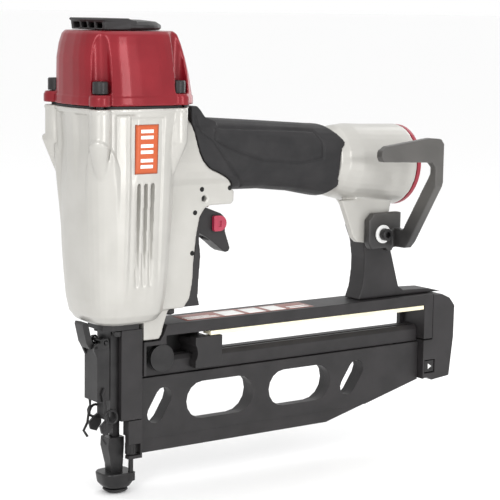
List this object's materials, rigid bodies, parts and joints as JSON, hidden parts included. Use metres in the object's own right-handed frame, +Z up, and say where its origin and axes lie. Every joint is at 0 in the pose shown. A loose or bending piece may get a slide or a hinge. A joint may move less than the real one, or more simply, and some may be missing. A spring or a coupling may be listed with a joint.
{
  "type": "pneumatic finish nailer",
  "caption": "Air-powered straight-magazine finish nailer with silver body, red cylinder cap, rubber grip, belt hook, trigger, nose latch and sliding nail pusher.",
  "frame": {"origin": "centre of the nose contact face, on the drive axis", "axes": "+Z up the drive axis to the cylinder cap, +X to the rear along the magazine, -Y the side with the belt hook"},
  "size_m": [0.2996, 0.092, 0.289],
  "materials": {
    "body_silver": "pearl silver paint on a light-alloy casting",
    "cap_red": "red metallic paint on a light-alloy casting",
    "black_moulding": "satin black moulding",
    "black_cast": "satin black coated casting",
    "black_rubber": "soft matt rubber",
    "black_steel": "black oxide steel",
    "bright_steel": "bright steel",
    "hook_grey": "satin grey moulding",
    "track_cream": "smooth cream strip",
    "washer_white": "white washer",
    "selector_red": "glossy red moulding",
    "ring_red": "glossy red moulding",
    "brass": "plain brass"
  },
  "bodies": {
    "frame": {"main_body": "body_silver", "head_gasket": "black_rubber", "cylinder_cap": "cap_red", "cap_bolt_1": "black_steel", "cap_bolt_2": "black_steel", "cap_bolt_3": "black_steel", "cap_bolt_4": "black_steel", "deflector_screw": "black_steel", "cylinder_sleeve": "bright_steel", "drive_guide_bush": "brass", "bumper": "black_rubber", "head_valve_spring": "bright_steel", "grip_sleeve": "black_rubber", "end_ring": "ring_red", "inlet_bush": "black_moulding", "inlet_filter": "brass", "trigger_valve_housing": "black_moulding", "trigger_pin": "bright_steel", "arm_cover": "black_moulding", "cover_screw": "black_steel", "driver_guide": "black_steel", "guide_bolt_near": "black_steel", "guide_bolt_far": "black_steel", "nose_plate": "black_cast", "door_pin": "bright_steel", "wheel_cage": "black_moulding", "magazine_beam": "black_cast", "head_track": "track_cream", "nail_rail": "black_cast", "magazine_plate": "black_cast", "magazine_end_cap": "black_moulding", "rear_post": "black_cast", "belt_hook": "hook_grey", "hook_washer": "washer_white", "hook_bolt": "black_steel"},
    "deflector": {"exhaust_deflector": "black_moulding"},
    "head_valve": {"head_valve": "black_moulding"},
    "driver": {"piston": "bright_steel", "piston_ring": "black_rubber", "driver_blade": "bright_steel"},
    "trigger": {"trigger": "black_moulding"},
    "selector": {"mode_selector": "selector_red"},
    "valve_stem": {"trigger_valve_stem": "brass"},
    "contact_arm": {"adjust_rod": "black_steel", "contact_foot": "black_steel", "foot_pad": "black_rubber"},
    "depth_wheel": {"depth_wheel": "black_steel"},
    "door": {"nose_door": "black_steel", "latch_pin": "bright_steel", "wire_spring_near": "black_steel", "wire_spring_far": "black_steel"},
    "latch": {"latch_lever": "black_steel"},
    "pusher": {"pusher": "black_moulding", "pusher_drum": "black_steel"},
    "magazine_latch": {"magazine_latch": "black_steel"}
  },
  "joints": [
    {"name": "deflector_spin", "type": "hinge", "parent": "frame", "child": "deflector", "pos_m": [0, 0, 0.285], "axis": [0, 0, 1], "continuous": true},
    {"name": "head_valve_lift", "type": "slide", "parent": "frame", "child": "head_valve", "axis": [0, 0, 1], "range_m": [0, 0.004], "stiffness_N_per_m": 1500, "deforming": ["head_valve_spring"]},
    {"name": "driver_stroke", "type": "slide", "parent": "frame", "child": "driver", "axis": [0, 0, 1], "range_m": [-0.083, 0]},
    {"name": "trigger_pull", "type": "hinge", "parent": "frame", "child": "trigger", "pos_m": [0.0554, 0, 0.1795], "axis": [0, -1, 0], "range_deg": [0, 9], "stiffness_Nm_per_rad": 0.5, "springref_deg": -11.46},
    {"name": "valve_stem_push", "type": "slide", "parent": "frame", "child": "valve_stem", "axis": [0, 0, 1], "range_m": [0, 0.002]},
    {"name": "selector_turn", "type": "hinge", "parent": "trigger", "child": "selector", "pos_m": [0.0706, 0, 0.1626], "axis": [0, -1, 0], "range_deg": [0, 90]},
    {"name": "contact_arm_lift", "type": "slide", "parent": "frame", "child": "contact_arm", "axis": [0, 0, 1], "range_m": [0, 0.008], "stiffness_N_per_m": 300, "springref_m": -0.02},
    {"name": "depth_wheel_turn", "type": "hinge", "parent": "frame", "child": "depth_wheel", "pos_m": [0.007, -0.0076, 0.027], "axis": [0, 0, 1], "continuous": true},
    {"name": "latch_open", "type": "hinge", "parent": "door", "child": "latch", "pos_m": [-0.0176, 0, 0.0926], "axis": [0, -1, 0], "range_deg": [0, 60]},
    {"name": "door_open", "type": "hinge", "parent": "frame", "child": "door", "pos_m": [-0.0109, 0, 0.095], "axis": [0, 1, 0], "range_deg": [0, 18]},
    {"name": "pusher_slide", "type": "slide", "parent": "frame", "child": "pusher", "axis": [1, 0, 0], "range_m": [0, 0.15], "stiffness_N_per_m": 12, "springref_m": -0.6},
    {"name": "magazine_latch_press", "type": "slide", "parent": "frame", "child": "magazine_latch", "axis": [0, 1, 0], "range_m": [0, 0.002], "stiffness_N_per_m": 500, "springref_m": -0.002}
  ],
  "couplings": [
    {"joint": "valve_stem_push", "follows": "trigger_pull", "m_per_rad": 0.0106},
    {"joint": "door_open", "follows": "latch_open", "ratio": 0.3}
  ]
}
